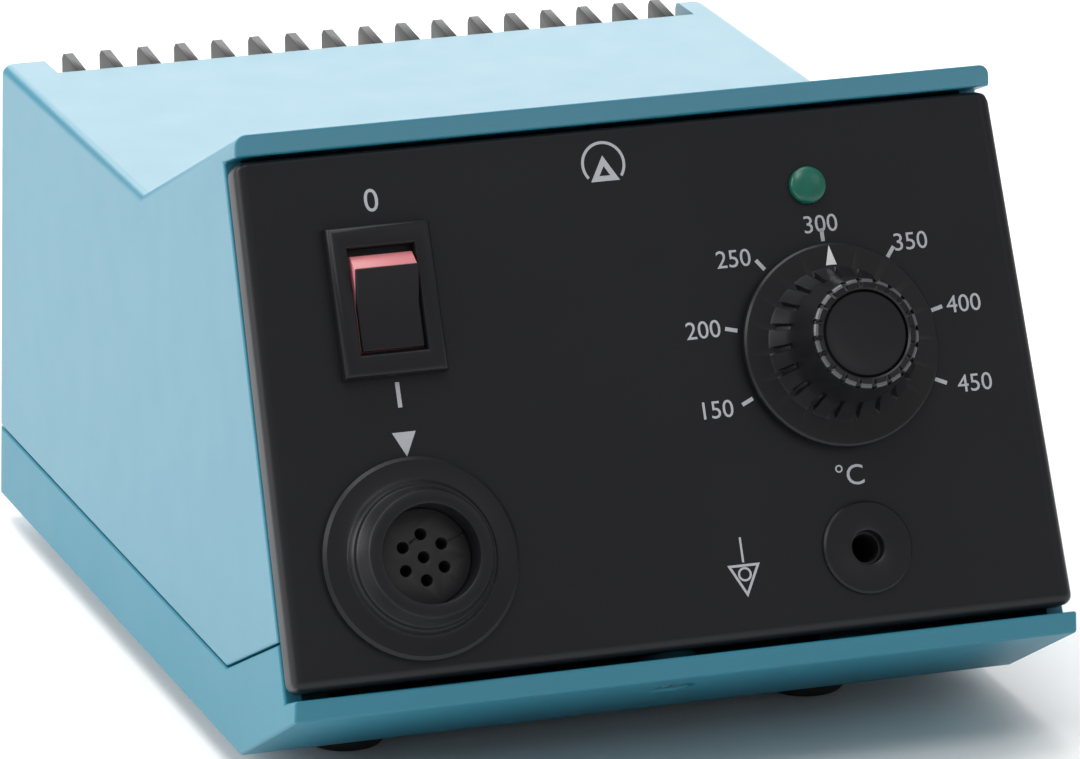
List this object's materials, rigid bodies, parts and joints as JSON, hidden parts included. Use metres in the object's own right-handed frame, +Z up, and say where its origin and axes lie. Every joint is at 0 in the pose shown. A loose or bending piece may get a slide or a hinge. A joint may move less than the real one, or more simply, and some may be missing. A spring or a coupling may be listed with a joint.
{
  "type": "soldering iron station",
  "caption": "Benchtop soldering iron control unit with a sloping front panel, rocker switch, temperature dial, lamp, iron socket, bonding jack, rear inlet and cooling fins.",
  "frame": {"origin": "centre of the box round the whole assembly, at the height of the feet's undersides", "axes": "+Z up, -Y towards the front panel's side, +X to the right seen from the front"},
  "size_m": [0.115, 0.1526, 0.0915],
  "materials": {
    "teal_housing": "light blue-teal textured moulding, satin",
    "black_panel": "black moulded panel, fine satin grain, white print",
    "black_moulding": "black moulded plastic, satin",
    "knob_plastic": "black moulded knob, satin",
    "insert_plastic": "dark grey contact insert, satin",
    "foot_rubber": "black rubber, matt",
    "red_rocker": "red moulded plastic, half gloss",
    "green_lens": "green translucent lens, unlit",
    "nylon": "natural nylon",
    "zinc_steel": "zinc plated steel",
    "brass": "brass contact metal",
    "tinned_wire": "tinned metal",
    "core_steel": "varnished steel laminations",
    "enamel_wire": "varnished winding under tape",
    "board_laminate": "green glass laminate",
    "capacitor_sleeve": "dark blue sleeve",
    "chip_epoxy": "black epoxy",
    "terminal_green": "green terminal housing",
    "fuse_glass": "clear glass"
  },
  "bodies": {
    "station": {"top_cover": "teal_housing", "base_tray": "teal_housing", "front_panel": "black_panel", "rear_panel": "black_moulding", "rubber_feet": "foot_rubber", "cover_screws": "zinc_steel", "panel_screw": "zinc_steel", "switch_frame": "black_moulding", "switch_terminals": "brass", "dial_sensor": "black_moulding", "lamp_lens": "green_lens", "lamp_leads": "tinned_wire", "socket_shell": "black_moulding", "socket_insert": "insert_plastic", "socket_contacts": "brass", "socket_nut": "zinc_steel", "jack_body": "black_moulding", "jack_sleeve": "tinned_wire", "jack_nut": "zinc_steel", "transformer_core": "core_steel", "transformer_bobbin": "nylon", "primary_winding": "enamel_wire", "secondary_winding": "enamel_wire", "transformer_strap": "zinc_steel", "transformer_screws": "zinc_steel", "control_board": "board_laminate", "board_screws": "zinc_steel", "board_capacitors": "capacitor_sleeve", "board_triac": "chip_epoxy", "board_chip": "chip_epoxy", "board_terminals": "terminal_green", "inlet_body": "black_moulding", "inlet_pins": "tinned_wire", "fuse_clips": "brass"},
    "rocker": {"rocker": "red_rocker", "rocker_face": "black_moulding", "switch_plunger": "nylon"},
    "switch_contact": {"switch_contact": "brass"},
    "dial": {"dial_knob": "knob_plastic", "knob_cap": "knob_plastic", "dial_shaft": "zinc_steel", "dial_wiper": "brass"},
    "fuse_drawer": {"fuse_drawer": "black_moulding", "fuse_tube": "fuse_glass", "fuse_caps": "tinned_wire"}
  },
  "joints": [
    {"name": "rocker_tilt", "type": "hinge", "parent": "station", "child": "rocker", "pos_m": [-0.0369, -0.05054, 0.06775], "axis": [1, 0, 0], "range_deg": [-20, 0]},
    {"name": "contact_tilt", "type": "hinge", "parent": "station", "child": "switch_contact", "pos_m": [-0.0369, -0.044, 0.06475], "axis": [1, 0, 0], "range_deg": [0, 8]},
    {"name": "dial_turn", "type": "hinge", "parent": "station", "child": "dial", "pos_m": [0.0275, -0.05765, 0.05705], "axis": [0, -0.9089, 0.4171], "range_deg": [-114, 114]},
    {"name": "drawer_slide", "type": "slide", "parent": "station", "child": "fuse_drawer", "axis": [0, 1, 0], "range_m": [0, 0.018]}
  ],
  "couplings": [
    {"joint": "contact_tilt", "follows": "rocker_tilt", "ratio": -0.4}
  ]
}
